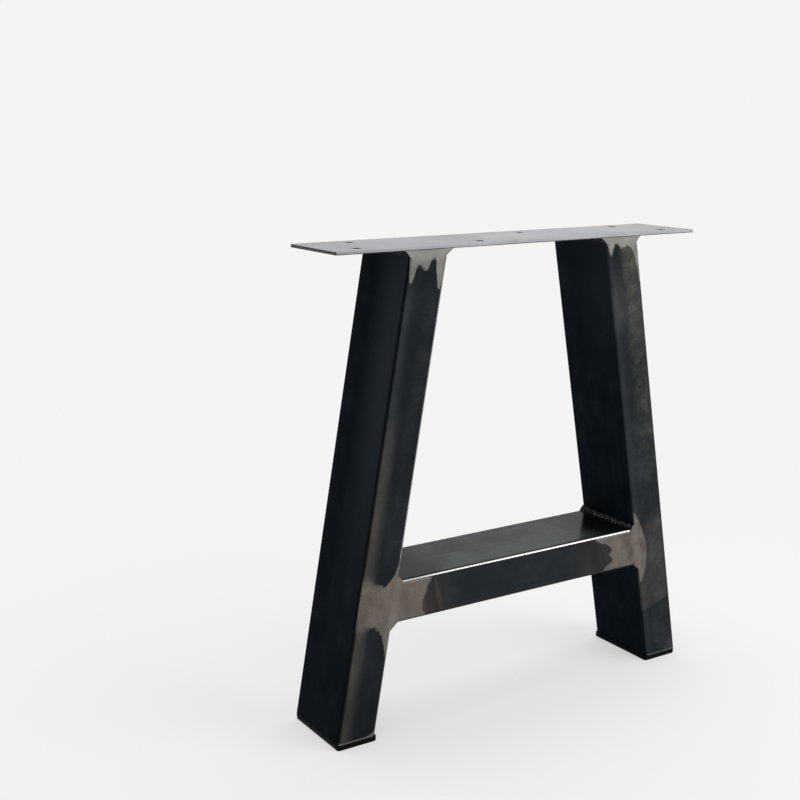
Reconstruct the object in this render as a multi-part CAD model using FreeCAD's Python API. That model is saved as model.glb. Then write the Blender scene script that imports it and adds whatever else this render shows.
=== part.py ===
import FreeCAD, Part
import math
import os

from FreeCAD import Rotation, Vector

# Trestle table leg: two leaning steel tubes under a drilled top plate, joined by a crossbar.
# Millimetres. X runs along the plate, Y through the trestle (front is -Y), Z up from the floor.

os.makedirs("parts", exist_ok=True)

# Whole trestle
height = 711.2              # floor to the top of the plate
foot_spread = 658.4         # between the legs' outer faces, at the floor
head_spread = 412.0         # between the legs' outer faces, under the plate

# Rectangular tube, the same for the legs and the crossbar
tube_depth = 127.0          # along Y
tube_width = 63.5           # across the leg, and the crossbar's height
tube_wall = 3.2
tube_corner_radius = 6.4    # outside

# Top plate
plate_length = 645.0
plate_thickness = 4.8
plate_corner_radius = 1.5
plate_edge_break = 0.4

# Screw holes in the plate, two staggered rows
hole_diameter = 10.0
hole_edge_distance = 25.4   # from the plate's long edge to the row
front_hole_end_distance = 46.5      # from the plate's ends to the front row's outer holes
back_hole_end_distance = 79.5       # from the plate's ends to the back row's outer holes
front_middle_hole_x = -72.0
back_middle_hole_x = 58.0

# Crossbar
crossbar_underside = 173.2  # above the floor

# Welds
plate_fillet_leg = 7.0      # under the plate, on the legs' wide faces
crossbar_top_fillet_leg = 6.0
crossbar_under_fillet_leg = 8.0
fillet_crown = 0.8          # how far the bead's face bulges
corner_fill_taper = 5.0     # run-out of the weld in the tubes' rounded corners
plate_groove_depth = 2.4    # bevel on the legs' narrow faces under the plate

# Foot caps
cap_flange_thickness = 8.8
cap_flange_width = 65.5
cap_corner_radius = 4.8     # of the flange, seen from above
cap_edge_radius = 2.0
cap_top_edge_radius = 1.0
cap_plug_height = 18.0
cap_plug_wall = 2.4
cap_rib_count = 3
cap_rib_thickness = 1.2
cap_rib_pitch = 5.0
cap_first_rib = 3.0         # from the flange to the lowest rib
cap_rib_height = 2.6        # how far the ribs stand out along Y
cap_clearance = 0.1         # between the ribs and the tube's wall

# Worked out from the sizes above
plate_underside = height - plate_thickness
lean = math.atan2((foot_spread - head_spread) / 2, plate_underside)
tube_level_width = tube_width / math.cos(lean)
crossbar_top = crossbar_underside + tube_width
front = -tube_depth / 2

up_leg = Vector(-math.sin(lean), 0, math.cos(lean))
out_of_leg = Vector(math.cos(lean), 0, math.sin(lean))


def outer_x(z):
    """X of the right leg's outer face at a height."""
    return foot_spread / 2 - z * math.tan(lean)


def inner_x(z):
    """X of the right leg's inner face at a height."""
    return outer_x(z) - tube_level_width


def rounded_rectangle(width, depth, radius):
    """Closed outline about the origin, width along X and depth along Y, with arcs at the corners."""
    x = width / 2 - radius
    y = depth / 2 - radius
    centres = [Vector(x, y, 0), Vector(-x, y, 0), Vector(-x, -y, 0), Vector(x, -y, 0)]
    arcs = []
    for number, centre in enumerate(centres):
        start = 90 * number
        arcs.append(Part.makeCircle(radius, centre, Vector(0, 0, 1), start, start + 90))
    edges = []
    for number, arc in enumerate(arcs):
        following = arcs[(number + 1) % 4]
        edges.append(arc)
        edges.append(Part.makeLine(arc.Vertexes[-1].Point, following.Vertexes[0].Point))
    return Part.Wire(Part.__sortEdges__(edges))


def rounded_block(width, depth, radius, length):
    """Solid bar of the rounded rectangle, from z = 0 up."""
    return Part.Face(rounded_rectangle(width, depth, radius)).extrude(Vector(0, 0, length))


def level_slice(shape, low, high):
    """What lies between two heights."""
    reach = 4 * height
    slab = Part.makeBox(reach, reach, high - low, Vector(-reach / 2, -reach / 2, low))
    return shape.common(slab)


def tube(length, hollow):
    """Tube standing at the origin. Not hollow, it is the tube's outer envelope."""
    bar = rounded_block(tube_width, tube_depth, tube_corner_radius, length)
    if not hollow:
        return bar
    bore = rounded_block(
        tube_width - 2 * tube_wall,
        tube_depth - 2 * tube_wall,
        tube_corner_radius - tube_wall,
        length,
    )
    return bar.cut(bore)


def leaning(shape):
    """Takes a shape from the tube's own axis to the right leg's axis."""
    shape = shape.copy()
    foot = Vector(foot_spread / 2, 0, 0) - out_of_leg * (tube_width / 2)
    start = foot - up_leg * tube_width
    shape.Placement = FreeCAD.Placement(start, Rotation(Vector(0, 1, 0), -math.degrees(lean)))
    return shape


def mirrored(shape):
    """The left-hand twin of a right-hand piece."""
    return shape.mirror(Vector(0, 0, 0), Vector(1, 0, 0))


def turned_back(shape):
    """The back twin of a front piece."""
    return shape.mirror(Vector(0, 0, 0), Vector(0, 1, 0))


def profile_along_y(outline, start, end, arc_after=None, crown=0.0):
    """Prism between two depths. The outline is (x, z) points; one side may bulge into an arc."""
    points = [Vector(x, start, z) for x, z in outline]
    edges = []
    for number, point in enumerate(points):
        following = points[(number + 1) % len(points)]
        if number == arc_after:
            side = following - point
            outward = Vector(side.z, 0, -side.x).normalize()
            middle = (point + following) * 0.5 + outward * crown
            edges.append(Part.Arc(point, middle, following).toShape())
        else:
            edges.append(Part.makeLine(point, following))
    return Part.Face(Part.Wire(edges)).extrude(Vector(0, end - start, 0))


# Envelopes that the welds are trimmed to

leg_length = height / math.cos(lean) + 3 * tube_width
leg_envelope = level_slice(leaning(tube(leg_length, False)), cap_flange_thickness, plate_underside)


def crossbar_bar(hollow):
    """Crossbar with its ends cut to the legs' inner faces."""
    reach = foot_spread
    bar = tube(reach, hollow)
    bar.Placement = FreeCAD.Placement(
        Vector(-reach / 2, 0, crossbar_underside + tube_width / 2),
        Rotation(Vector(0, 1, 0), 90),
    )
    between_legs = profile_along_y(
        [
            (-inner_x(crossbar_underside), crossbar_underside),
            (inner_x(crossbar_underside), crossbar_underside),
            (inner_x(crossbar_top), crossbar_top),
            (-inner_x(crossbar_top), crossbar_top),
        ],
        -tube_depth,
        tube_depth,
    )
    return bar.common(between_legs)


crossbar_envelope = crossbar_bar(False)


# Top plate

def hole_places():
    """Hole centres: the front row, then the back row."""
    row = tube_depth / 2 - hole_edge_distance
    front_outer_x = plate_length / 2 - front_hole_end_distance
    back_outer_x = plate_length / 2 - back_hole_end_distance
    front_row = [-front_outer_x, front_middle_hole_x, front_outer_x]
    back_row = [-back_outer_x, back_middle_hole_x, back_outer_x]
    return [(x, -row) for x in front_row] + [(x, row) for x in back_row]


def top_plate():
    plate = rounded_block(plate_length, tube_depth, plate_corner_radius, plate_thickness)
    rims = [edge for edge in plate.Edges if abs(edge.tangentAt(edge.FirstParameter).z) < 0.5]
    plate = plate.makeChamfer(plate_edge_break, rims)
    plate.translate(Vector(0, 0, plate_underside))
    for x, y in hole_places():
        bit = Part.makeCylinder(hole_diameter / 2, 3 * plate_thickness)
        bit.translate(Vector(x, y, plate_underside - plate_thickness))
        plate = plate.cut(bit)
    return plate


# Legs

def plate_groove(reach):
    """Wedge between the plate's underside and the bevel on a leg's narrow front face."""
    corner = Vector(-reach, front, plate_underside)
    below = corner - Vector(0, 0, plate_groove_depth)
    behind = corner + Vector(0, plate_groove_depth, 0)
    wedge = Part.Face(Part.makePolygon([corner, below, behind, corner]))
    return wedge.extrude(Vector(2 * reach, 0, 0))


def right_leg():
    leg = level_slice(leaning(tube(leg_length, True)), cap_flange_thickness, plate_underside)
    groove = plate_groove(foot_spread)
    return leg.cut(groove).cut(turned_back(groove))


# Welds under the plate

def plate_fillet(outer):
    """Fillet along a wide face of the right leg, filling the tube's rounded corners at both ends."""
    side = 1 if outer else -1
    face_x = outer_x(plate_underside) if outer else inner_x(plate_underside)
    root = Vector(face_x, 0, plate_underside)
    toe_on_plate = root + Vector(side * plate_fillet_leg, 0, 0)
    toe_on_leg = root - up_leg * plate_fillet_leg
    into_leg = out_of_leg * (-side * tube_corner_radius)
    run_out = toe_on_leg + into_leg - up_leg * corner_fill_taper
    under_plate = Vector(run_out.x, 0, plate_underside) - Vector(side * tube_corner_radius, 0, 0)
    outline = [(p.x, p.z) for p in (toe_on_plate, toe_on_leg, run_out, under_plate)]
    bead = profile_along_y(outline, front, -front, 0, side * fillet_crown)
    return bead.cut(leg_envelope)


def plate_groove_weld():
    """Weld in the bevel on the right leg's narrow front face, ground flush with the face."""
    return plate_groove(foot_spread).common(leg_envelope)


# Welds at the crossbar's right end

def crossbar_fillet(top):
    """Fillet across the crossbar, filling the rounded corners of the crossbar and of the leg."""
    rise = 1 if top else -1
    level = crossbar_top if top else crossbar_underside
    leg_size = crossbar_top_fillet_leg if top else crossbar_under_fillet_leg
    root = Vector(inner_x(level), 0, level)
    toe_on_bar = root - Vector(leg_size, 0, 0)
    toe_on_leg = root + up_leg * (rise * leg_size)
    into_leg = out_of_leg * tube_corner_radius
    run_out_leg = toe_on_leg + into_leg + up_leg * (rise * corner_fill_taper)
    seam = level - rise * tube_corner_radius
    seam_in_leg = Vector(inner_x(seam) + tube_corner_radius / math.cos(lean), 0, seam)
    run_out_bar = Vector(toe_on_bar.x - corner_fill_taper, 0, seam)
    outline = [(p.x, p.z) for p in (toe_on_bar, toe_on_leg, run_out_leg, seam_in_leg, run_out_bar)]
    bead = profile_along_y(outline, front, -front, 0, -rise * fillet_crown)
    return bead.cut(leg_envelope).cut(crossbar_envelope)


def crossbar_groove_weld():
    """Weld in the hollow between the leg's rounded front corner and the crossbar's end, ground flush."""
    low = crossbar_underside + tube_corner_radius
    high = crossbar_top - tube_corner_radius
    strip = tube_corner_radius / math.cos(lean)
    outline = [
        (inner_x(low), low),
        (inner_x(low) + strip, low),
        (inner_x(high) + strip, high),
        (inner_x(high), high),
    ]
    filler = profile_along_y(outline, front, front + tube_corner_radius)
    return filler.cut(leg_envelope)


# Foot cap

def cap_flange():
    """Level flange under the tube, its rims rounded."""
    flange = rounded_block(cap_flange_width, tube_depth, cap_corner_radius, cap_flange_thickness)
    lower = [edge for edge in flange.Edges if edge.BoundBox.ZMax < cap_flange_thickness / 2]
    flange = flange.makeFillet(cap_edge_radius, lower)
    upper = [edge for edge in flange.Edges if edge.BoundBox.ZMin > cap_flange_thickness - 1e-6]
    return flange.makeFillet(cap_top_edge_radius, upper)


def right_foot_cap():
    """Flange with a hollow plug, pushed straight up into the leaning tube; its thin ribs follow the lean."""
    step_in = math.tan(lean)
    tube_x = (outer_x(cap_flange_thickness) + inner_x(cap_flange_thickness)) / 2
    cap_x = tube_x - step_in * cap_plug_height / 2
    bore_width = (tube_width - 2 * tube_wall) / math.cos(lean) - 2 * cap_clearance
    bore_depth = tube_depth - 2 * tube_wall - 2 * cap_clearance
    bore_radius = tube_corner_radius - tube_wall
    plug_width = bore_width - step_in * cap_plug_height
    plug_depth = bore_depth - 2 * cap_rib_height

    flange = cap_flange()
    flange.translate(Vector(cap_x, 0, 0))
    plug = rounded_block(plug_width, plug_depth, bore_radius, cap_plug_height)
    plug.translate(Vector(cap_x, 0, cap_flange_thickness))
    ribs = []
    for number in range(cap_rib_count):
        foot = cap_first_rib + number * cap_rib_pitch
        rib_width = bore_width - step_in * cap_rib_thickness
        rib = rounded_block(rib_width, bore_depth, bore_radius, cap_rib_thickness)
        rib_x = tube_x - step_in * (foot + cap_rib_thickness / 2)
        rib.translate(Vector(rib_x, 0, cap_flange_thickness + foot))
        ribs.append(rib)
    hollow = rounded_block(
        plug_width - 2 * cap_plug_wall,
        plug_depth - 2 * cap_plug_wall,
        bore_radius / 2,
        cap_plug_height,
    )
    hollow.translate(Vector(cap_x, 0, cap_flange_thickness))
    return flange.fuse([plug] + ribs).cut(hollow).removeSplitter()


# Write every piece to its own file

def pieces():
    """All pieces by name. Right-hand ones are modelled, left-hand and back ones mirrored."""
    right = {
        "leg": right_leg(),
        "foot_cap": right_foot_cap(),
        "plate_outer_weld": plate_fillet(True),
        "plate_inner_weld": plate_fillet(False),
        "plate_front_weld": plate_groove_weld(),
        "plate_back_weld": turned_back(plate_groove_weld()),
        "crossbar_top_weld": crossbar_fillet(True),
        "crossbar_under_weld": crossbar_fillet(False),
        "crossbar_front_weld": crossbar_groove_weld(),
        "crossbar_back_weld": turned_back(crossbar_groove_weld()),
    }
    made = {"top_plate": top_plate(), "crossbar": crossbar_bar(True)}
    for name, shape in right.items():
        made["right_" + name] = shape
        made["left_" + name] = mirrored(shape)
    return made


for name, shape in pieces().items():
    shape.exportStep("parts/" + name + ".step")
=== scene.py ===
import math

import bpy
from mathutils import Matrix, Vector


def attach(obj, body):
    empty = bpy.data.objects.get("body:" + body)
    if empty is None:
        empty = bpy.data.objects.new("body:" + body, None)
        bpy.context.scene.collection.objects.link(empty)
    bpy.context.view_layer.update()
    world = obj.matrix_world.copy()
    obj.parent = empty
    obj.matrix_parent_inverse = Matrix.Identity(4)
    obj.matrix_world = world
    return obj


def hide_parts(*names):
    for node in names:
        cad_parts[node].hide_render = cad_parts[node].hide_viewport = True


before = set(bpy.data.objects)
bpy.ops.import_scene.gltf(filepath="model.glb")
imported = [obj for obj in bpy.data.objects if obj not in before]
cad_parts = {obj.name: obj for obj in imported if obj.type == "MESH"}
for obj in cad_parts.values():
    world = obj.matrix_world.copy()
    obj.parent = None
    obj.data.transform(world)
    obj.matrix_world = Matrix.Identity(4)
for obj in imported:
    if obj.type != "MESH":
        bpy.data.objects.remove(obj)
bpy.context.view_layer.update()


# Legs and crossbar: rectangular hot-rolled steel tube in its blue-black mill scale, cut to the lean
# and welded. The narrow front and back faces were ground with a flap disc: bright where the welds were
# taken flush, scuffed elsewhere. The wide faces keep their scale.

tube_depth = 127.0              # millimetres, here and in every shader
tube_width = 63.5
tube_corner_radius = 6.4
foot_half_spread = 329.2
head_half_spread = 206.0
plate_underside = 706.4
crossbar_underside = 173.2
crossbar_top = crossbar_underside + tube_width
crossbar_middle = crossbar_underside + tube_width / 2
cap_flange_top = 8.8
slope = (foot_half_spread - head_half_spread) / plate_underside
lean = math.atan(slope)
leg_middle_at_floor = foot_half_spread - tube_width / 2 / math.cos(lean)

# Edges of the ground patches, seen from the front, as (place, height) or (height, place) points. A
# place on a leg is counted from its middle line towards the right, and one on the crossbar from the
# trestle's middle.
left_head_edge = [
    (-42, 693), (-32, 694), (-29, 684), (-25, 661), (-20, 672), (-14, 685), (-8, 682), (-3, 679),
    (2, 683), (8, 695), (11, 694), (15, 679), (20, 661), (24, 651), (27, 663), (32, 691),
]
right_head_edge = [
    (-40, 705), (-34, 700), (-29, 693), (-25, 678), (-20, 687), (-12, 696), (-3, 690), (12, 692),
    (20, 683), (25, 656), (28, 637), (32, 641),
]
left_joint_top = [
    (-32, 249), (-10, 241), (0, 237), (9, 232), (14, 237), (21, 245), (28, 268), (32, 289),
]
left_joint_foot = [
    (-32, 181), (-17, 177), (0, 175), (9, 169), (15, 161), (20, 151), (24, 139), (28, 123), (32, 79),
]
left_joint_on_bar = [(173, -176), (195, -183), (215, -177), (229, -170), (237, -168)]
right_joint_on_leg = [
    (139, -34), (147, -26), (153, -22.5), (171, -14.5), (194, -10), (206, -10), (223, -13),
    (241, -18), (261, -27), (267, -34),
]
right_joint_on_bar = [
    (173, 156), (185, 170), (193, 181), (203, 172), (209, 176), (219, 169), (229, 146), (237, 140),
]
left_foot_edge = [(-32, 11.4), (8, 10.8), (16, 11.4), (22, 13), (28, 18), (32, 23)]


def hex_colour(code):
    """Linear colour of an sRGB hex code."""
    channels = [int(code[i:i + 2], 16) / 255 for i in (1, 3, 5)]
    linear = [c / 12.92 if c <= 0.04045 else ((c + 0.055) / 1.055) ** 2.4 for c in channels]
    return (*linear, 1.0)


def add_node(tree, kind, inputs=None, **settings):
    """One shader node. Each input is given a number or colour, or another node's output to be linked."""
    made = tree.nodes.new("ShaderNode" + kind)
    for name, value in settings.items():
        setattr(made, name, value)
    for name, value in (inputs or {}).items():
        if isinstance(value, bpy.types.NodeSocket):
            tree.links.new(value, made.inputs[name])
        else:
            made.inputs[name].default_value = value
    return made


def new_material(name):
    """An empty node material, its shader wired to the output, and the shaded point in millimetres."""
    material = bpy.data.materials.new(name)
    material.use_nodes = True
    tree = material.node_tree
    tree.nodes.clear()
    shader = add_node(tree, "BsdfPrincipled")
    add_node(tree, "OutputMaterial", {"Surface": shader.outputs["BSDF"]})
    coordinate = add_node(tree, "TexCoord")
    place = add_node(
        tree, "VectorMath", {0: coordinate.outputs["Object"], "Scale": 1000.0}, operation="SCALE"
    )
    return material, tree, shader, place.outputs["Vector"]


def calculate(tree, operation, *values):
    """A sum in the shader, on numbers or on other nodes' outputs."""
    return add_node(tree, "Math", dict(enumerate(values)), operation=operation).outputs[0]


def product(tree, first, *others):
    """All the values multiplied together."""
    for other in others:
        first = calculate(tree, "MULTIPLY", first, other)
    return first


def greatest(tree, first, *others):
    """The largest of the values."""
    for other in others:
        first = calculate(tree, "MAXIMUM", first, other)
    return first


def apart(tree, first, second):
    """How far two values lie apart."""
    return calculate(tree, "ABSOLUTE", calculate(tree, "SUBTRACT", first, second))


def rest_of(tree, share):
    """What a share leaves over, up to 1."""
    return calculate(tree, "SUBTRACT", 1.0, share)


def fade(tree, value, low, high):
    """0 up to low and 1 from high on, with a smooth step between. With low above high it falls."""
    step = add_node(
        tree, "MapRange", {"Value": value, "From Min": low, "From Max": high},
        interpolation_type="SMOOTHSTEP",
    )
    return step.outputs["Result"]


def hand_drawn_line(tree, value, points):
    """Where a smooth line through (position, value) points runs at a position."""
    low, high = points[0][0], points[-1][0]
    least, most = min(p[1] for p in points), max(p[1] for p in points)
    share = add_node(tree, "MapRange", {"Value": value, "From Min": low, "From Max": high})
    drawn = add_node(tree, "FloatCurve", {"Value": share.outputs["Result"]})
    curve = drawn.mapping.curves[0]
    curve.points[0].location = (0.0, (points[0][1] - least) / (most - least))
    curve.points[-1].location = (1.0, (points[-1][1] - least) / (most - least))
    for position, height in points[1:-1]:
        curve.points.new((position - low) / (high - low), (height - least) / (most - least))
    drawn.mapping.update()
    back = add_node(tree, "MapRange", {"Value": drawn.outputs["Value"], "To Min": least, "To Max": most})
    return back.outputs["Result"]


def noise(tree, place, scale, detail, roughness, squeeze=(1.0, 1.0, 1.0), turn=0.0):
    """Cloudy noise from 0 to 1. Squeeze draws its grain out, along axes turned in the front's plane."""
    laid = add_node(
        tree, "Mapping", {"Vector": place, "Rotation": (0.0, math.radians(turn), 0.0), "Scale": squeeze},
        vector_type="TEXTURE",
    )
    made = add_node(
        tree, "TexNoise",
        {"Vector": laid.outputs["Vector"], "Scale": scale, "Detail": detail, "Roughness": roughness},
    )
    return made.outputs["Fac"]


def colours(tree, value, *stops):
    """Colour for a value from (value, sRGB hex) stops."""
    ramp = add_node(tree, "ValToRGB", {"Fac": value})
    elements = ramp.color_ramp.elements
    while len(elements) < len(stops):
        elements.new(0.5)
    for element, (position, code) in zip(elements, stops):
        element.position = position
        element.color = hex_colour(code)
    return ramp.outputs["Color"]


def blend(tree, share, under, over):
    """The colour over laid on the colour under, by its share."""
    return add_node(tree, "Mix", {0: share, 6: under, 7: over}, data_type="RGBA").outputs[2]


def ground_tube_steel(name, lies_flat):
    """Mill scale with its ground patches, whose outlines run on over the tubes and their flush welds."""
    material, tree, shader, place = new_material(name)
    x, y, z = add_node(tree, "SeparateXYZ", {"Vector": place}).outputs

    # The back was ground by the same hand, so it has the front's outlines turned round.
    turned = calculate(tree, "SIGN", product(tree, y, -1.0))
    seen_x = product(tree, x, turned)
    seen = add_node(tree, "CombineXYZ", {"X": seen_x, "Y": y, "Z": z}).outputs["Vector"]
    side = calculate(tree, "SIGN", seen_x)
    on_right = calculate(tree, "MULTIPLY_ADD", side, 0.5, 0.5)
    on_left = calculate(tree, "MULTIPLY_ADD", side, -0.5, 0.5)

    def by_side(left, right):
        """The left value on the trestle's left half, and the right value on its right half."""
        return calculate(tree, "ADD", product(tree, left, on_left), product(tree, right, on_right))

    leg_middle = calculate(tree, "MULTIPLY_ADD", z, -slope, leg_middle_at_floor)
    on_leg_place = calculate(tree, "SUBTRACT", seen_x, product(tree, side, leg_middle))
    towards_outside = product(tree, on_leg_place, side)
    depth = calculate(tree, "SUBTRACT", tube_depth / 2, calculate(tree, "ABSOLUTE", y))
    on_narrow_face = fade(tree, depth, 4.6, 1.0)
    if lies_flat:
        under_disc = fade(tree, depth, 1.0, 0.2)
        across = apart(tree, z, crossbar_middle)
        along, over = x, z
    else:
        under_disc = fade(tree, depth, 1.9, 0.6)
        across = product(tree, calculate(tree, "ABSOLUTE", on_leg_place), math.cos(lean))
        along, over = z, on_leg_place

    # Noise that shakes the outlines: a disc leaves a ragged edge, 3 to 10 mm deep with 1 mm crumbs.
    shake = calculate(tree, "MULTIPLY_ADD", noise(tree, seen, 0.11, 7.0, 0.68), 16.0, -8.0)
    shaken_place = calculate(tree, "MULTIPLY_ADD", shake, 0.35, on_leg_place)
    shaken_z = calculate(tree, "ADD", z, shake)
    edge_blur = 2.5     # half the width of a patch's soft edge

    # Heads: bright ground steel under the plate.
    head_line = by_side(
        hand_drawn_line(tree, on_leg_place, left_head_edge),
        hand_drawn_line(tree, on_leg_place, right_head_edge),
    )
    head = fade(tree, calculate(tree, "SUBTRACT", shaken_z, head_line), -edge_blur, edge_blur)

    # Joints: the crossbar's corner welds, ground flush on the leg and on the bar, which meet 32.2 mm
    # inside the leg's middle line. The disc was lifted off slowly on the left leg's outer half, where
    # the edge is soft.
    inside = fade(tree, towards_outside, -32.1, -32.4)
    on_leg = rest_of(tree, inside)
    softness = calculate(tree, "MULTIPLY_ADD", fade(tree, on_leg_place, -2.0, -18.0), 9.0, 2.5)
    patch_top = hand_drawn_line(tree, on_leg_place, left_joint_top)
    patch_foot = hand_drawn_line(tree, on_leg_place, left_joint_foot)
    below_top = calculate(tree, "SUBTRACT", patch_top, shaken_z)
    above_foot = calculate(tree, "SUBTRACT", shaken_z, patch_foot)
    left_leg_patch = product(
        tree, fade(tree, calculate(tree, "DIVIDE", below_top, softness), -1.0, 1.0),
        fade(tree, calculate(tree, "DIVIDE", above_foot, softness), -1.0, 1.0),
    )
    left_bar_gap = calculate(tree, "SUBTRACT", hand_drawn_line(tree, z, left_joint_on_bar), seen_x)
    left_bar_patch = fade(tree, calculate(tree, "ADD", left_bar_gap, shake), -edge_blur, edge_blur)
    right_leg_line = hand_drawn_line(tree, z, right_joint_on_leg)
    right_leg_patch = fade(tree, calculate(tree, "SUBTRACT", right_leg_line, shaken_place), -1.5, 1.5)
    right_bar_gap = calculate(tree, "SUBTRACT", seen_x, hand_drawn_line(tree, z, right_joint_on_bar))
    right_bar_patch = fade(tree, calculate(tree, "ADD", right_bar_gap, shake), -edge_blur, edge_blur)
    leg_patch = by_side(left_leg_patch, right_leg_patch)
    bar_patch = by_side(left_bar_patch, right_bar_patch)
    joint = calculate(tree, "ADD", product(tree, leg_patch, on_leg), product(tree, bar_patch, inside))

    # Foot edge: the saw's burr was taken off in one thin bright line above the cap.
    left_line = calculate(tree, "SUBTRACT", hand_drawn_line(tree, on_leg_place, left_foot_edge), z)
    right_line = calculate(tree, "SUBTRACT", cap_flange_top + 1.5, z)
    foot_edge = fade(tree, by_side(left_line, right_line), -0.5, 0.4)
    bare = product(tree, greatest(tree, head, joint, foot_edge), under_disc)

    # Scale: blue-black oxide, blotchy over 40 mm, with faint lines drawn out along the tube by the
    # rolls. It is thinner and greyer on the narrow faces, which the disc has dulled. The wide faces are
    # paler towards the front, and on the legs paler high up.
    blotch = noise(tree, place, 0.022, 5.0, 0.6)
    drawn_out = add_node(tree, "CombineXYZ", {"X": over, "Y": y, "Z": product(tree, along, 0.012)})
    rolled = noise(tree, drawn_out.outputs["Vector"], 0.09, 3.0, 0.55)
    scale_tone = calculate(tree, "MULTIPLY_ADD", rolled, 0.3, product(tree, blotch, 0.7))
    paler_to_front = fade(tree, y, 25.0, -45.0)
    if lies_flat:
        wide = colours(tree, scale_tone, (0.38, "#1f2426"), (0.50, "#2d3234"), (0.64, "#464b4c"))
        wide = blend(tree, product(tree, paler_to_front, 0.4), wide, hex_colour("#474d4d"))
        # Painted reflection: the scale is darkened towards the legs, where the bar's top would mirror
        # the dark legs.
        painted_dark_reflection = fade(tree, calculate(tree, "ABSOLUTE", x), 108.0, 180.0)
        wide = blend(tree, painted_dark_reflection, wide, hex_colour("#0b0f11"))
        narrow_tone = scale_tone
    else:
        left_leg = fade(tree, x, 1.0, -1.0)
        wide_tone = calculate(tree, "MULTIPLY_ADD", left_leg, -0.1, scale_tone)
        wide = colours(tree, wide_tone, (0.35, "#0a1015"), (0.52, "#11181e"), (0.70, "#1a2229"))
        paler_left = product(tree, left_leg, fade(tree, z, 60.0, 620.0), paler_to_front)
        paler_right = product(
            tree, rest_of(tree, left_leg), fade(tree, z, 470.0, 640.0),
            calculate(tree, "MULTIPLY_ADD", paler_to_front, 0.3, 0.2),
        )
        wide = blend(tree, calculate(tree, "ADD", paler_left, paler_right), wide, hex_colour("#262c32"))
        narrow_tone = calculate(tree, "MULTIPLY_ADD", on_right, 0.09, scale_tone)
    grit_angle = -45.0
    dashes = noise(tree, seen, 0.5, 4.0, 0.65, squeeze=(3.0, 1.0, 1.0), turn=grit_angle)
    off_mean = calculate(tree, "SUBTRACT", dashes, 0.5)
    narrow_tone = calculate(tree, "MULTIPLY_ADD", off_mean, 0.3, narrow_tone)
    narrow = colours(
        tree, narrow_tone, (0.40, "#202427"), (0.50, "#23272a"), (0.60, "#282c2f"), (0.75, "#33383b")
    )
    colour = blend(tree, on_narrow_face, wide, narrow)
    if not lies_flat:
        # The left foot's scale is untouched and dark, and the right foot's outer corner is rubbed pale.
        left_foot_shade = product(tree, fade(tree, z, 110.0, 50.0), on_left, on_narrow_face, 0.5)
        colour = blend(tree, left_foot_shade, colour, hex_colour("#171a1d"))
        low_corner = product(
            tree, fade(tree, z, 46.0, 12.0), fade(tree, on_leg_place, 0.0, 25.0), on_right, 0.5,
            on_narrow_face,
        )
        colour = blend(tree, low_corner, colour, hex_colour("#4c4a4e"))
        # The dark of the right leg's inner face reaches further round the corner.
        dark_turn = product(
            tree, fade(tree, towards_outside, -15.0, -24.0), on_right, fade(tree, depth, 0.7, 2.2)
        )
        colour = blend(tree, dark_turn, colour, wide)

    cloud = noise(tree, seen, 0.035, 4.0, 0.6)
    if lies_flat:
        # The disc brushed the bar beyond the joints too, in upright bands that fade out to its middle.
        band = noise(tree, seen, 0.075, 3.0, 0.5, squeeze=(1.0, 1.0, 6.0), turn=-12.0)
        near_joint = calculate(
            tree, "ADD", fade(tree, seen_x, -128.0, -160.0),
            product(tree, fade(tree, seen_x, 80.0, 150.0), 0.55),
        )
        scuffed = product(tree, near_joint, on_narrow_face)
        scuff_colour = colours(tree, band, (0.34, "#252423"), (0.48, "#302e2c"), (0.62, "#3d3936"))
    else:
        # Left leg: one long soft pass down its outer edge.
        strip_inside = calculate(tree, "MULTIPLY_ADD", fade(tree, z, 400.0, 600.0), 7.0, on_leg_place)
        strip_cloud = noise(tree, seen, 0.05, 4.0, 0.55, squeeze=(1.0, 1.0, 2.2))
        strip_dashes = calculate(tree, "MULTIPLY_ADD", dashes, 0.5, 0.35)
        strip = product(
            tree, fade(tree, on_leg_place, -31.5, -28.5), fade(tree, strip_inside, -4.0, -24.0),
            fade(tree, z, 690.0, 640.0),
            calculate(tree, "MULTIPLY_ADD", fade(tree, strip_cloud, 0.36, 0.62), 0.35, strip_dashes),
        )
        up_the_leg = calculate(tree, "DIVIDE", z, 700.0)
        strip_colour = colours(
            tree, up_the_leg, (0.0, "#4a4743"), (0.10, "#3d3b37"), (0.18, "#4e4b47"), (0.42, "#514c47"),
            (0.50, "#4e5049"), (0.56, "#514e49"), (0.61, "#504e4b"), (0.69, "#363a3c"),
            (0.80, "#383c3f"), (0.92, "#3b4043"),
        )
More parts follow.
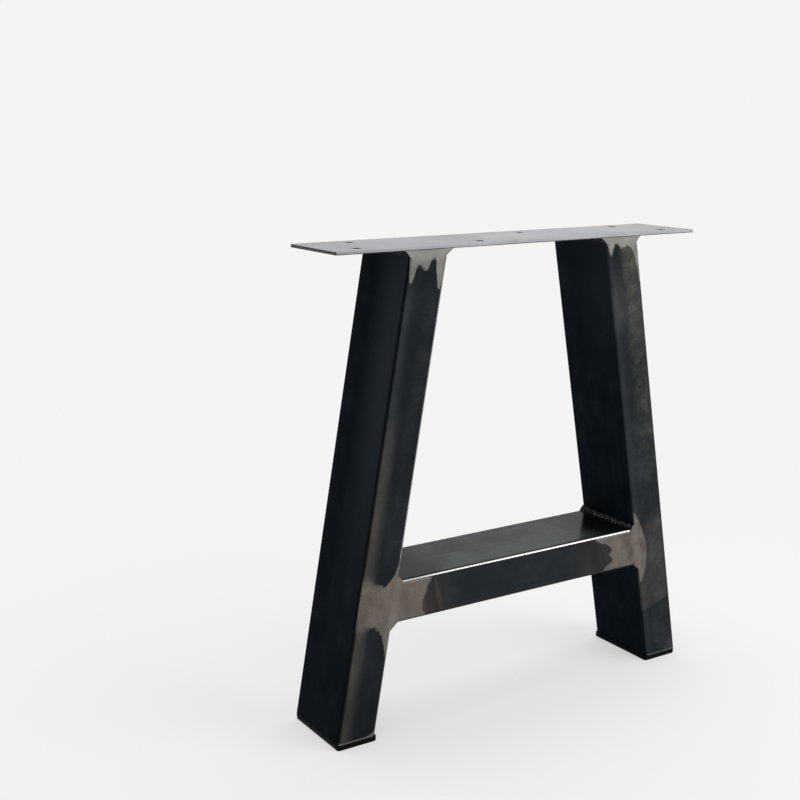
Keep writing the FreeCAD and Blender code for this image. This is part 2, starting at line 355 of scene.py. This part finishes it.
        # Right leg: a pale pass down its right half with dashes from the disc's grit in it, a bloom
        # over the whole width at 600 mm, and another pass beside and below the joint, which ends in a
        # slanting line.
        patches = noise(tree, seen, 0.07, 6.0, 0.7, squeeze=(1.4, 1.0, 1.0), turn=grit_angle)
        mottle_tone = calculate(tree, "MULTIPLY_ADD", dashes, 0.2, product(tree, patches, 0.8))
        above_joint = product(
            tree, fade(tree, shaken_place, -11.0, 3.0), fade(tree, z, 280.0, 370.0),
            calculate(tree, "MULTIPLY_ADD", fade(tree, z, 510.0, 580.0), 0.4, 0.4),
        )
        from_bloom = apart(tree, shaken_z, 602.0)
        bloom = product(
            tree, fade(tree, from_bloom, 50.0, 15.0), fade(tree, shaken_place, -34.0, -16.0), 0.4
        )
        slanting_top = calculate(tree, "MULTIPLY_ADD", shaken_place, -0.8, shaken_z)
        slanting_foot = calculate(tree, "MULTIPLY_ADD", on_leg_place, -0.27, z)
        by_joint = product(
            tree, fade(tree, slanting_top, 262.0, 216.0), fade(tree, slanting_foot, 97.0, 102.0),
            calculate(tree, "MULTIPLY_ADD", fade(tree, on_leg_place, -14.0, 6.0), 0.25, 0.55),
        )
        less_at_edge = calculate(tree, "MULTIPLY_ADD", fade(tree, on_leg_place, 31.0, 19.0), 0.6, 0.4)
        mottle = product(tree, greatest(tree, above_joint, bloom, by_joint), less_at_edge)
        mottle_colour = colours(
            tree, mottle_tone, (0.40, "#2b2f2f"), (0.47, "#393c3a"), (0.53, "#484944"), (0.61, "#5f5e57")
        )
        high_up = product(tree, fade(tree, z, 500.0, 590.0), 0.35)
        mottle_colour = blend(tree, high_up, mottle_colour, hex_colour("#595953"))
        low_down = product(tree, fade(tree, z, 300.0, 240.0), 0.6)
        mottle_colour = blend(tree, low_down, mottle_colour, hex_colour("#474543"))
        scuffed = product(tree, by_side(strip, mottle), on_narrow_face)
        scuff_colour = blend(tree, on_right, strip_colour, mottle_colour)
    colour = blend(tree, scuffed, colour, scuff_colour)

    # Painted highlights: a pale metallic line is painted along some of the rounded corners' crests,
    # strong along the crossbar's top and weaker on the left leg's inner corner, where a lamp would glint
    # on the rounding. Thin black lines of painted shade lie on the corners too, beside the crossbar's
    # highlight and along the left leg's outer corner.
    gap = calculate(tree, "SUBTRACT", tube_width / 2, across)
    bend = calculate(tree, "ADD", depth, gap)
    if lies_flat:
        highlight_wider = calculate(tree, "MULTIPLY_ADD", fade(tree, seen_x, -150.0, 60.0), -0.05, bend)
        crest = fade(tree, highlight_wider, 3.94, 3.80)
        on_top = fade(tree, z, crossbar_middle, crossbar_middle + 5.0)
        along_top = calculate(tree, "MULTIPLY_ADD", fade(tree, seen_x, -190.0, -150.0), 0.3, 0.6)
        painted_crest_highlight = product(tree, crest, calculate(tree, "MULTIPLY_ADD", on_top, along_top, 0.1))
        highlight_colour = hex_colour("#dcdee0")
        painted_corner_shade = product(tree, fade(tree, bend, 5.4, 4.4), 0.8)
    else:
        crest = fade(tree, bend, 5.1, 4.1)
        inner = fade(tree, towards_outside, 5.0, -5.0)
        # Painted highlight: the right leg's inner corner is painted a soft blue-grey rim of light, paler
        # at the bloom.
        at_bloom = fade(tree, apart(tree, z, 590.0), 45.0, 15.0)
        painted_corner_light = product(
            tree, inner, on_right, fade(tree, towards_outside, -12.0, -29.0),
            fade(tree, depth, 3.2, 0.8), calculate(tree, "MULTIPLY_ADD", at_bloom, 0.26, 0.14),
        )
        colour = blend(tree, painted_corner_light, colour, hex_colour("#53585c"))
        round_corner = calculate(tree, "SUBTRACT", gap, depth)
        line = product(tree, fade(tree, round_corner, -4.0, -1.5), fade(tree, round_corner, 5.0, 2.0))
        at_corner = fade(tree, bend, 7.5, 6.5)
        painted_corner_shade = product(tree, line, at_corner, rest_of(tree, inner), on_left, 0.85)
        left_share = calculate(tree, "MULTIPLY_ADD", fade(tree, z, 170.0, 240.0), 0.7, 0.15)
        painted_crest_highlight = product(tree, crest, inner, on_left, left_share, rest_of(tree, bare))
        highlight_colour = hex_colour("#d2d4d6")
    colour = blend(tree, painted_corner_shade, colour, hex_colour("#0a0d10"))

    # Ground steel: 60-grit scratches, drawn 1 mm wide to show, over warm and greenish clouds. The
    # heads are freshly ground and paler.
    scratches = noise(tree, seen, 1.0, 5.0, 0.7, squeeze=(9.0, 1.0, 1.0), turn=-32.0)
    bare_tone = calculate(tree, "MULTIPLY_ADD", scratches, 0.25, product(tree, cloud, 0.75))
    joint_colour = colours(tree, bare_tone, (0.36, "#524b44"), (0.50, "#665e57"), (0.64, "#787068"))
    tint = noise(tree, seen, 0.04, 3.0, 0.5)
    greener = calculate(
        tree, "MAXIMUM", fade(tree, tint, 0.46, 0.80),
        product(tree, fade(tree, towards_outside, -40.0, -22.0), fade(tree, z, 215.0, 130.0), 0.7),
    )
    joint_colour = blend(tree, greener, joint_colour, hex_colour("#6d6f67"))
    on_bar = product(tree, fade(tree, towards_outside, -26.0, -44.0), on_left, 0.4)
    joint_colour = blend(tree, on_bar, joint_colour, hex_colour("#776f67"))
    along_seam = product(tree, fade(tree, apart(tree, towards_outside, -31.0), 12.0, 2.0), 0.4)
    joint_colour = blend(tree, along_seam, joint_colour, hex_colour("#89827a"))
    head_colour = colours(tree, bare_tone, (0.36, "#5c5c59"), (0.50, "#6d6d69"), (0.64, "#7f7e79"))
    under_plate = product(tree, fade(tree, z, 676.0, 704.0), 0.4)
    head_colour = blend(tree, under_plate, head_colour, hex_colour("#918f88"))
    ground_colour = blend(tree, fade(tree, z, 480.0, 620.0), joint_colour, head_colour)
    ground_colour = blend(tree, foot_edge, ground_colour, hex_colour("#666669"))
    colour = blend(tree, bare, colour, ground_colour)
    colour = blend(tree, painted_crest_highlight, colour, highlight_colour)
    tree.links.new(colour, shader.inputs["Base Color"])

    tree.links.new(calculate(tree, "MAXIMUM", bare, painted_crest_highlight), shader.inputs["Metallic"])
    scale_roughness = 0.12 if lies_flat else 0.22
    rough = calculate(tree, "MULTIPLY_ADD", bare, 0.26, scale_roughness)
    rough = calculate(tree, "MULTIPLY_ADD", cloud, 0.08, rough)
    tree.links.new(rough, shader.inputs["Roughness"])
    shader.inputs["Specular IOR Level"].default_value = 0.055 if lies_flat else 0.006

    grain = product(tree, scratches, bare)
    pits = product(tree, noise(tree, place, 0.7, 4.0, 0.6), 0.15)
    relief = calculate(tree, "ADD", grain, pits)
    bump = add_node(tree, "Bump", {"Height": relief, "Strength": 0.3, "Distance": 0.0002})
    tree.links.new(bump.outputs["Normal"], shader.inputs["Normal"])
    return material


def dress(node_names, material):
    """Give CAD nodes their finished material."""
    for node_name in node_names:
        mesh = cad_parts[node_name].data
        for slot in range(len(mesh.materials)):
            mesh.materials[slot] = material


leg_steel = ground_tube_steel("mill_scale_leg_tube", lies_flat=False)
crossbar_steel = ground_tube_steel("mill_scale_crossbar_tube", lies_flat=True)
dress(["left_leg", "right_leg"], leg_steel)
dress(["crossbar"], crossbar_steel)

# Flush welds: MIG groove welds on the narrow faces, between plate and legs and between crossbar and
# legs. They were ground flush with the tubes, so they carry the tubes' own ground finish.
flush_welds = [
    side + weld
    for side in ("left_", "right_")
    for weld in ("plate_front_weld", "plate_back_weld", "crossbar_front_weld", "crossbar_back_weld")
]
dress(flush_welds, leg_steel)


# Top plate: cold-finished flat steel bar, sheared to length, drilled and welded over the leg heads. Its
# faces are bare satin steel, wiped over with a scouring pad. The sheared ends are darker, as cut, and
# the hole walls with a narrow ring round each hole are painted dark as shade.

plate_top = 711.2
plate_half_length = 322.5
plate_edge_break = 0.4
hole_radius = 5.0
plate_holes = [(-276, -38.1), (276, -38.1), (-243, 38.1), (243, 38.1), (-72, -38.1), (58, 38.1)]


def satin_plate_steel():
    """Bare flat bar: silvery grey, with the mill's lines along it and a few wiping marks."""
    material, tree, shader, place = new_material("cold_finished_plate_steel")
    x, y, z = add_node(tree, "SeparateXYZ", {"Vector": place}).outputs
    # Rolling lines are far finer than a pixel, so they are drawn 1.5 mm apart and 200 mm long.
    lines = noise(tree, place, 0.6, 4.0, 0.6, squeeze=(160.0, 1.0, 1.0))
    cloud = noise(tree, place, 0.012, 5.0, 0.55)
    tone = calculate(tree, "MULTIPLY_ADD", lines, 0.35, product(tree, cloud, 0.65))
    face = colours(tree, tone, (0.36, "#86888b"), (0.50, "#929598"), (0.64, "#9ea1a4"))
    # Painted shade: the left end is painted darker.
    face = blend(tree, product(tree, fade(tree, x, -60.0, -300.0), 0.5), face, hex_colour("#76797d"))
    cut_noise = noise(tree, place, 0.15, 4.0, 0.6)
    cut = colours(tree, cut_noise, (0.4, "#1d1a19"), (0.6, "#35302d"))
    below_top = fade(tree, z, plate_top - plate_edge_break + 0.05, plate_top - plate_edge_break - 0.15)
    above_underside = fade(tree, z, plate_underside + 0.25, plate_underside + 0.45)
    rolled_edge = fade(tree, calculate(tree, "ABSOLUTE", y), tube_depth / 2 - 0.3, tube_depth / 2 - 0.1)
    # Painted shadow: the lowest millimetre of the long edges is painted dark, as the shade under the
    # plate's edge.
    painted_edge_shadow = fade(tree, z, plate_underside + 1.3, plate_underside + 0.8)
    cut_and_shaded = product(
        tree, below_top, above_underside, greatest(tree, rest_of(tree, rolled_edge), painted_edge_shadow)
    )
    # The shear leaves a bright burnished line half way down the ends.
    at_end = fade(tree, calculate(tree, "ABSOLUTE", x), plate_half_length - 0.3, plate_half_length - 0.1)
    off_middle = apart(tree, z, (plate_top + plate_underside) / 2)
    burnished = product(tree, at_end, fade(tree, off_middle, 0.7, 0.3), 0.35)
    # Painted shade: the hole walls and a narrow ring round each hole are painted nearly black, and not
    # metallic, as the shade in the holes.
    flat_place = add_node(tree, "CombineXYZ", {"X": x, "Y": y}).outputs["Vector"]
    to_hole = 2 * plate_half_length
    for hole_x, hole_y in plate_holes:
        from_hole = add_node(
            tree, "VectorMath", {0: flat_place, 1: (hole_x, hole_y, 0.0)}, operation="DISTANCE"
        )
        to_hole = calculate(tree, "MINIMUM", from_hole.outputs["Value"], to_hole)
    hole_shade = fade(tree, to_hole, hole_radius + 2.2, hole_radius + 1.4)
    colour = blend(tree, cut_and_shaded, face, cut)
    colour = blend(tree, hole_shade, colour, hex_colour("#333336"))
    tree.links.new(blend(tree, burnished, colour, hex_colour("#8d8a86")), shader.inputs["Base Color"])
    tree.links.new(rest_of(tree, hole_shade), shader.inputs["Metallic"])
    rough = calculate(tree, "MULTIPLY_ADD", lines, 0.14, 0.34)
    tree.links.new(rough, shader.inputs["Roughness"])
    shader.inputs["Specular IOR Level"].default_value = 0.05
    bump = add_node(tree, "Bump", {"Height": lines, "Strength": 0.2, "Distance": 0.0001})
    tree.links.new(bump.outputs["Normal"], shader.inputs["Normal"])
    return material


dress(["top_plate"], satin_plate_steel())


# Laid welds: MIG beads along the wide faces at each joint, left as laid where no one sees them. Each is
# a run of small overlapping ripples that froze one behind the other, steel under a thin brown-black
# oxide skin.

ripple_pitch = 2.8
ripple_thickness = 1.7
ripple_crest = 1.1          # above the straight line between the bead's toes
bead_face_rise = 0.4        # above that line too, of the plain bead under the ripples
ripple_lean = math.radians(28)
bead_voxel = 0.7
bead_half_length = tube_depth / 2 - 0.05
fillet_middle = 0.45        # from the root, as a share of the CAD fillet's leg size
let_in = (1.3, 1.02, 1.3)   # stretch about the fillet's middle, which takes it into the walls
ground_end = 0.5            # how far a bead's ends carry the ground finish
groove_reach = tube_corner_radius + 0.6
block_depth = 8.0           # along the bead
block_inset = 3.0           # from the bead's end to the block's middle
block_rise = 0.4            # above the tube's wall
uneven_flow = bpy.data.textures.new("uneven_flow", "CLOUDS")
uneven_flow.noise_scale = 0.006


def weld_metal():
    """As-laid weld steel: brown and blue-black oxide, with flecks of bare grey steel painted pale and
    glossy as glints.
    """
    material, tree, shader, place = new_material("mig_weld_steel")
    crust = noise(tree, place, 0.5, 4.0, 0.6)
    colour = colours(
        tree, crust, (0.40, "#07080a"), (0.54, "#0d0e11"), (0.59, "#1f2226"), (0.66, "#787e85")
    )
    tree.links.new(colour, shader.inputs["Base Color"])
    tree.links.new(fade(tree, crust, 0.55, 0.61), shader.inputs["Metallic"])
    tree.links.new(calculate(tree, "MULTIPLY_ADD", crust, -0.4, 0.58), shader.inputs["Roughness"])
    shader.inputs["Specular IOR Level"].default_value = 0.03
    bump = add_node(tree, "Bump", {"Height": crust, "Strength": 0.3, "Distance": 0.0003})
    tree.links.new(bump.outputs["Normal"], shader.inputs["Normal"])
    return material


weld_steel = weld_metal()


def laid_bead(node_name, root_x, root_z, wall_angle, other_wall_angle, leg_size, node_leg_size):
    """The CAD node's fillet, brought to its leg size, with ripples laid along it and melted into one
    bead. It fills the corner between two walls, whose angles are in degrees up from +X."""
    facing = math.radians((wall_angle + other_wall_angle) / 2)
    half_corner = math.radians(abs(wall_angle - other_wall_angle) / 2)
    outwards = (math.cos(facing), math.sin(facing))
    ripple_middle = 0.3 * leg_size
    ripple_reach = leg_size * math.cos(half_corner) + ripple_crest - ripple_middle
    ripple_half_width = 1.1 * leg_size * math.sin(half_corner)

    # One ripple is a flat lens that leans back over the one before it.
    bpy.ops.object.select_all(action="DESELECT")
    bpy.ops.mesh.primitive_uv_sphere_add(
        segments=20, ring_count=12, radius=0.001, rotation=(0.0, 0.0, ripple_lean),
        scale=(ripple_reach, ripple_thickness, ripple_half_width),
    )
    bead = bpy.context.object
    bead.name = node_name + "_bead"
    bpy.ops.object.transform_apply(location=True, rotation=True, scale=True)
    bead.rotation_euler = (0.0, -facing, 0.0)
    bead.location = (
        (root_x + ripple_middle * math.cos(facing)) / 1000, -bead_half_length / 1000,
        (root_z + ripple_middle * math.sin(facing)) / 1000,
    )
    bpy.ops.object.transform_apply(location=True, rotation=True, scale=True)
    run = bead.modifiers.new("run", "ARRAY")
    run.use_relative_offset = False
    run.use_constant_offset = True
    run.constant_offset_displace = (0.0, ripple_pitch / 1000, 0.0)
    run.count = int(2 * bead_half_length / ripple_pitch) + 2
    bpy.ops.object.modifier_apply(modifier=run.name)

    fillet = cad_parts[node_name].copy()
    fillet.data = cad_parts[node_name].data.copy()
    bpy.context.collection.objects.link(fillet)
    bpy.ops.object.select_all(action="DESELECT")
    fillet.select_set(True)
    bpy.context.view_layer.objects.active = fillet
    bpy.ops.object.mode_set(mode="EDIT")
    bpy.ops.mesh.select_all(action="SELECT")
    bpy.ops.mesh.remove_doubles(threshold=0.000002)
    # It is let into the walls a little, and its face is cut back where the bead was laid smaller.
    middle_x, middle_z = [
        (root + fillet_middle * node_leg_size * out) / 1000
        for root, out in zip((root_x, root_z), outwards)
    ]
    bpy.ops.transform.resize(value=let_in, center_override=(middle_x, 0.0, middle_z))
    to_face = leg_size * math.cos(half_corner) + bead_face_rise
    bpy.ops.mesh.bisect(
        plane_co=((root_x + to_face * outwards[0]) / 1000, 0.0, (root_z + to_face * outwards[1]) / 1000),
        plane_no=(outwards[0], 0.0, outwards[1]), clear_outer=True, use_fill=True,
    )
    # At both ends a block carries it on into the groove beside each tube's rounded corner. It reaches
    # from behind the bead's root to just past its toe.
    if "plate" in node_name:
        tube_walls, behind_root = [wall_angle], 2.0
    else:
        tube_walls, behind_root = [wall_angle, other_wall_angle], groove_reach
    block_length = 1.05 * leg_size + behind_root
    for angle in tube_walls:
        along_wall = (math.cos(math.radians(angle)), math.sin(math.radians(angle)))
        into_wall = [
            (math.cos(half_corner) * wall - out) / math.sin(half_corner)
            for wall, out in zip(along_wall, outwards)
        ]
        block_x, block_z = [
            root + (block_length / 2 - behind_root) * wall + (groove_reach / 2 - block_rise) * into
            for root, wall, into in zip((root_x, root_z), along_wall, into_wall)
        ]
        for end in (-1, 1):
            bpy.ops.mesh.primitive_cube_add(
                size=0.001, rotation=(0.0, -math.radians(angle), 0.0),
                location=(block_x / 1000, end * (bead_half_length - block_inset) / 1000, block_z / 1000),
                scale=(block_length, block_depth, groove_reach),
            )
    bpy.ops.object.mode_set(mode="OBJECT")
    bead.select_set(True)
    bpy.context.view_layer.objects.active = bead
    bpy.ops.object.join()
    melt = bead.modifiers.new("melt", "REMESH")
    melt.mode = "VOXEL"
    melt.voxel_size = bead_voxel / 1000
    bpy.ops.object.modifier_apply(modifier=melt.name)
    slump = bead.modifiers.new("slump", "DISPLACE")
    slump.texture = uneven_flow
    slump.texture_coords = "LOCAL"
    slump.strength = 0.0006
    bpy.ops.object.modifier_apply(modifier=slump.name)

    # The ends were ground off flush with the narrow faces, and share their finish.
    bpy.ops.object.mode_set(mode="EDIT")
    for end in (-1, 1):
        bpy.ops.mesh.select_all(action="SELECT")
        bpy.ops.mesh.bisect(
            plane_co=(0.0, end * bead_half_length / 1000, 0.0), plane_no=(0.0, end, 0.0),
            clear_outer=True, use_fill=True, threshold=0.000001,
        )
    bpy.ops.object.mode_set(mode="OBJECT")
    bpy.ops.object.shade_smooth_by_angle(angle=math.radians(50))
    bead.data.materials.clear()
    bead.data.materials.append(weld_steel)
    bead.data.materials.append(leg_steel)
    for polygon in bead.data.polygons:
        polygon.material_index = int(abs(polygon.center.y) > (bead_half_length - ground_end) / 1000)
    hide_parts(node_name)
    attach(bead, "root")


inner_face_x = leg_middle_at_floor - tube_width / 2 / math.cos(lean)
down_leg = math.degrees(lean) - 90
for side_name, side in (("right_", 1), ("left_", -1)):
    # Roots and angles are the right leg's, and are turned over for the left one. The three sizes are the
    # bead's leg on the right, its leg on the left, and the CAD fillet's leg.
    for node, root_x, root_z, wall, other_wall, right_size, left_size, node_size in (
        (
            "crossbar_top_weld", inner_face_x - slope * crossbar_top, crossbar_top, down_leg + 180, 180,
            5.0, 5.0, 6.0,
        ),
        (
            "crossbar_under_weld", inner_face_x - slope * crossbar_underside, crossbar_underside,
            down_leg + 360, 180, 4.6, 5.4, 8.0,
        ),
        ("plate_outer_weld", head_half_spread, plate_underside, down_leg, 0, 4.2, 7.6, 7.0),
        (
            "plate_inner_weld", inner_face_x - slope * plate_underside, plate_underside,
            down_leg + 360, 180, 6.6, 5.6, 7.0,
        ),
    ):
        size = right_size
        if side < 0:
            wall, other_wall, size = 180 - wall, 180 - other_wall, left_size
        laid_bead(side_name + node, side * root_x, root_z, wall, other_wall, size, node_size)


# Foot caps: black polyethylene plugs pushed into the tube ends, so that the feet don't scratch the
# floor. Injection moulded, with a faint spark-eroded texture.

def moulded_polyethylene():
    """Black LDPE: soft sheen, a fine even grain and pale scuffs on the edge that meets the floor."""
    material, tree, shader, place = new_material("black_polyethylene")
    z = add_node(tree, "SeparateXYZ", {"Vector": place}).outputs["Z"]
    dust = noise(tree, place, 0.09, 6.0, 0.65)
    scuff = product(tree, fade(tree, dust, 0.52, 0.72), fade(tree, z, 1.2, 0.2), 0.25)
    black = colours(tree, dust, (0.35, "#060607"), (0.65, "#0c0c0d"))
    tree.links.new(blend(tree, scuff, black, hex_colour("#343332")), shader.inputs["Base Color"])
    tree.links.new(calculate(tree, "MULTIPLY_ADD", dust, 0.2, 0.36), shader.inputs["Roughness"])
    shader.inputs["IOR"].default_value = 1.51
    shader.inputs["Specular IOR Level"].default_value = 0.035
    # The spark-eroded grain is 0.1 mm in the mould, drawn at 0.8 mm so that it shows.
    grain = noise(tree, place, 1.2, 2.0, 0.5)
    bump = add_node(tree, "Bump", {"Height": grain, "Strength": 0.25, "Distance": 0.0001})
    tree.links.new(bump.outputs["Normal"], shader.inputs["Normal"])
    return material


dress(["left_foot_cap", "right_foot_cap"], moulded_polyethylene())


# Studio: a white sweep, one large overhead softbox a little behind the trestle and a smaller one from
# the front right. The left side gets only the room's light.

backdrop_white = "#f4f4f4"
floor_size = 9.0
shadow_ground_radius = 0.45
open_ground_radius = 1.2

bpy.ops.object.select_all(action="DESELECT")
bpy.ops.mesh.primitive_plane_add(size=floor_size, location=(0.0, 0.0, 0.0))
floor = bpy.context.object
floor.name = "studio_floor"
floor_material = bpy.data.materials.new("matt_white_floor")
floor_material.use_nodes = True
floor_tree = floor_material.node_tree
floor_tree.nodes.clear()
lit = add_node(floor_tree, "BsdfDiffuse", {"Color": hex_colour(backdrop_white)})
plain = add_node(floor_tree, "Emission", {"Color": hex_colour(backdrop_white), "Strength": 1.0})
floor_place = add_node(floor_tree, "TexCoord").outputs["Object"]
away = add_node(floor_tree, "VectorMath", {0: floor_place}, operation="LENGTH").outputs["Value"]
ray = add_node(floor_tree, "LightPath").outputs
# Seen or mirrored, the floor keeps 45 per cent of its shadow near the feet and none further out.
further_out = fade(floor_tree, away, shadow_ground_radius, open_ground_radius)
open_ground = product(
    floor_tree, calculate(floor_tree, "MULTIPLY_ADD", further_out, 0.45, 0.55),
    greatest(floor_tree, ray["Is Camera Ray"], ray["Is Glossy Ray"]),
)
floor_mix = add_node(floor_tree, "MixShader", {0: open_ground, 1: lit.outputs[0], 2: plain.outputs[0]})
add_node(floor_tree, "OutputMaterial", {"Surface": floor_mix.outputs[0]})
floor.data.materials.append(floor_material)

world = bpy.data.worlds.new("white_studio")
bpy.context.scene.world = world
world.use_nodes = True
world_tree = world.node_tree
world_tree.nodes.clear()
room_light = 0.56
seen_world = add_node(world_tree, "Background", {"Color": hex_colour(backdrop_white), "Strength": 1.0})
room = add_node(world_tree, "Background", {"Color": hex_colour("#ffffff"), "Strength": room_light})
world_ray = add_node(world_tree, "LightPath").outputs
seen_ray = greatest(
    world_tree, world_ray["Is Camera Ray"], world_ray["Is Glossy Ray"], world_ray["Is Transmission Ray"]
)
world_mix = add_node(
    world_tree, "MixShader", {0: seen_ray, 1: room.outputs[0], 2: seen_world.outputs[0]}
)
add_node(world_tree, "OutputWorld", {"Surface": world_mix.outputs[0]})


def softbox(name, location, aim, width, height, watts):
    """A rectangular soft lamp pointed at a place."""
    lamp = bpy.data.lights.new(name, "AREA")
    lamp.shape = "RECTANGLE"
    lamp.size = width
    lamp.size_y = height
    lamp.energy = watts
    lamp_object = bpy.data.objects.new(name, lamp)
    lamp_object.location = location
    lamp_object.rotation_euler = (Vector(aim) - Vector(location)).to_track_quat("-Z", "Y").to_euler()
    bpy.context.scene.collection.objects.link(lamp_object)


trestle_middle = (0.0, 0.0, 0.35)
softbox(
    "overhead_softbox", location=(0.25, 0.45, 2.3), aim=trestle_middle,
    width=3.0, height=2.4, watts=27.0,
)
softbox(
    "front_right_softbox", location=(1.7, -2.1, 1.5), aim=trestle_middle,
    width=2.0, height=2.0, watts=32.0,
)

# The camera stands 2 m away, to the front left and a little above the plate.
camera = bpy.data.cameras.new("photo_camera")
camera.lens = 58.393
camera.sensor_width = 36.0
camera_object = bpy.data.objects.new("photo_camera", camera)
camera_object.location = (-1.163642, -1.538851, 0.890445)
camera_object.rotation_euler = (math.radians(77.468), math.radians(-0.091), math.radians(-32.509))
bpy.context.scene.collection.objects.link(camera_object)
bpy.context.scene.camera = camera_object

bpy.context.scene.view_settings.view_transform = "Standard"
